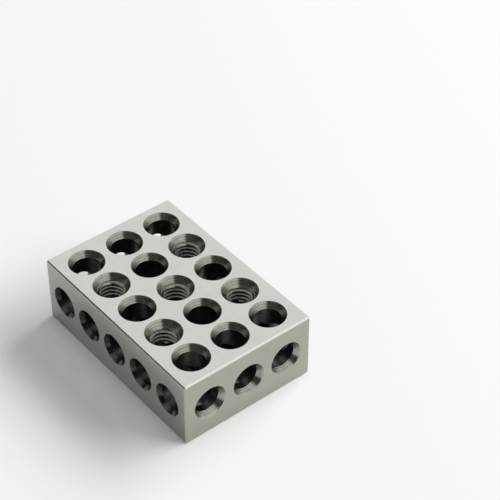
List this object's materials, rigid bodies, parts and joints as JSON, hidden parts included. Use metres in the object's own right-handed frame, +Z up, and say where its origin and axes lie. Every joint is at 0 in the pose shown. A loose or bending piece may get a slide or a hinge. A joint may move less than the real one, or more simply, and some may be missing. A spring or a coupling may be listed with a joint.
{
  "type": "setup block",
  "caption": "Rectangular hardened steel setup block, ground square, with countersunk plain and tapped holes that cross inside it in all three directions.",
  "frame": {"origin": "centre of the base, the large face that the block lies on", "axes": "+X along the length, +Y across the width, +Z up through the thickness"},
  "size_m": [0.0762, 0.0508, 0.0254],
  "materials": {
    "ground_steel": "satin, surface ground"
  },
  "bodies": {
    "root": {"setup_block": "ground_steel"}
  },
  "joints": []
}
